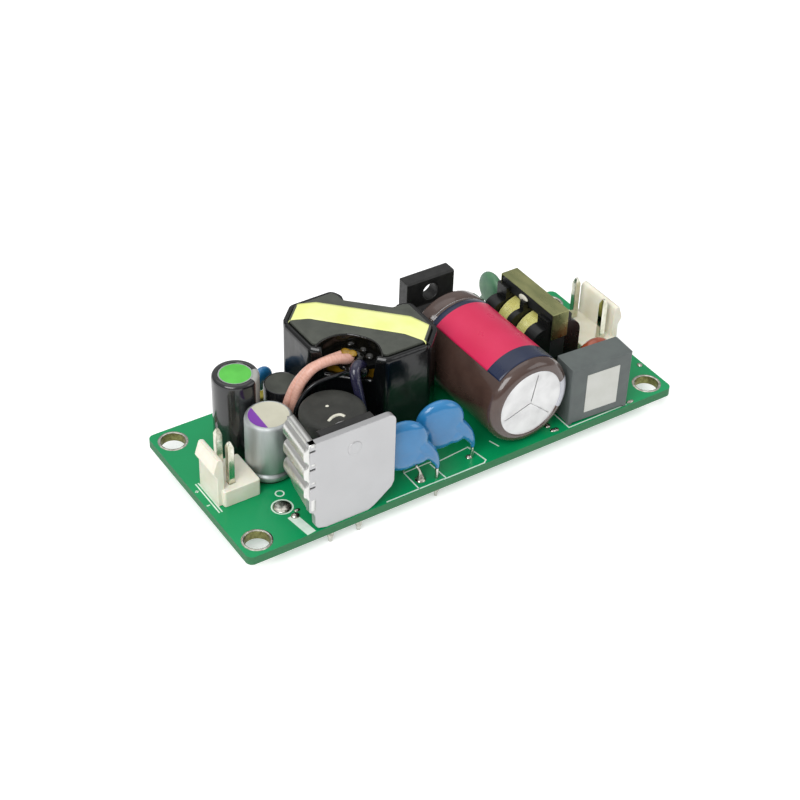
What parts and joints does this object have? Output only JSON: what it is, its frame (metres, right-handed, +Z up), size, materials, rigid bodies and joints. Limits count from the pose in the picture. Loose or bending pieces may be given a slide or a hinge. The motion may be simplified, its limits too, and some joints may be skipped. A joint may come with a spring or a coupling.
{
  "type": "open frame power supply",
  "caption": "Long green circuit board carrying a transformer, a lying capacitor, chokes, a bent heat sink and a pin header at each end, held by holes in its corners.",
  "frame": {"origin": "centre of the four mounting holes, on the underside of the board", "axes": "+X along the board towards the input header, +Z up from the board to its parts"},
  "size_m": [0.0864, 0.0356, 0.0222],
  "materials": {
    "board": "green solder mask over glass-fibre laminate",
    "solder": "bright solder",
    "ivory_plastic": "moulded nylon",
    "tin": "tinned",
    "can_aluminium": "drawn",
    "black_sleeve": "shrunk film",
    "green_label": "printed paper",
    "rubber": "matte",
    "brown_sleeve": "shrunk film",
    "magenta_label": "printed film",
    "ferrite": "ground ferrite",
    "black_plastic": "moulded",
    "amber_tape": "amber film over copper",
    "black_tape": "film band",
    "yellow_tape": "polyester film",
    "pink_sleeve": "fibre sleeve",
    "dark_sleeve": "shiny sleeve",
    "sheet_aluminium": "blank sheet",
    "black_epoxy": "moulded epoxy",
    "choke_cover": "shrunk cover",
    "copper_wire": "enamelled copper",
    "blue_coating": "dipped epoxy",
    "grey_case": "moulded case",
    "white_label": "blank label",
    "red_coating": "dipped epoxy",
    "green_coating": "dipped coating",
    "clip_steel": "yellow passivated",
    "yellow_case": "moulded",
    "tan_ceramic": "fired"
  },
  "bodies": {
    "root": {"board": "board", "mounting_pads": "solder", "solder_joints": "solder", "output_header": "ivory_plastic", "output_pins": "tin", "input_header": "ivory_plastic", "input_pins": "tin", "filter_cap_can": "can_aluminium", "filter_cap_sleeve": "black_sleeve", "filter_cap_label": "green_label", "polymer_cap_can": "can_aluminium", "polymer_cap_bung": "rubber", "bulk_cap_can": "can_aluminium", "bulk_cap_sleeve": "brown_sleeve", "bulk_cap_bung": "rubber", "bulk_cap_label": "magenta_label", "bulk_cap_legs": "tin", "transformer_core": "ferrite", "transformer_bobbin": "black_plastic", "transformer_winding": "amber_tape", "transformer_band": "black_tape", "transformer_tape": "yellow_tape", "transformer_pins": "tin", "secondary_leads": "pink_sleeve", "primary_lead": "dark_sleeve", "shield_lead": "black_sleeve", "heat_sink": "sheet_aluminium", "output_rectifier": "black_epoxy", "rectifier_legs": "tin", "rivet": "sheet_aluminium", "output_choke": "choke_cover", "bead_choke_core": "ferrite", "bead_choke_winding": "copper_wire", "bead_choke_sleeve": "black_sleeve", "right_disc_cap": "blue_coating", "left_disc_cap": "blue_coating", "film_cap": "grey_case", "film_cap_label": "white_label", "varistor": "red_coating", "thermistor": "green_coating", "choke_bobbin": "black_plastic", "choke_windings": "yellow_tape", "choke_core": "ferrite", "choke_clip": "clip_steel", "choke_pins": "tin", "switch_transistor": "black_epoxy", "transistor_legs": "tin", "blue_cap": "blue_coating", "yellow_cap": "yellow_case", "part_legs": "tin", "bridge_rectifier": "black_epoxy", "controller_chip": "black_epoxy", "optocoupler": "black_epoxy", "chip_resistors": "black_epoxy", "chip_capacitors": "tan_ceramic"}
  },
  "joints": []
}
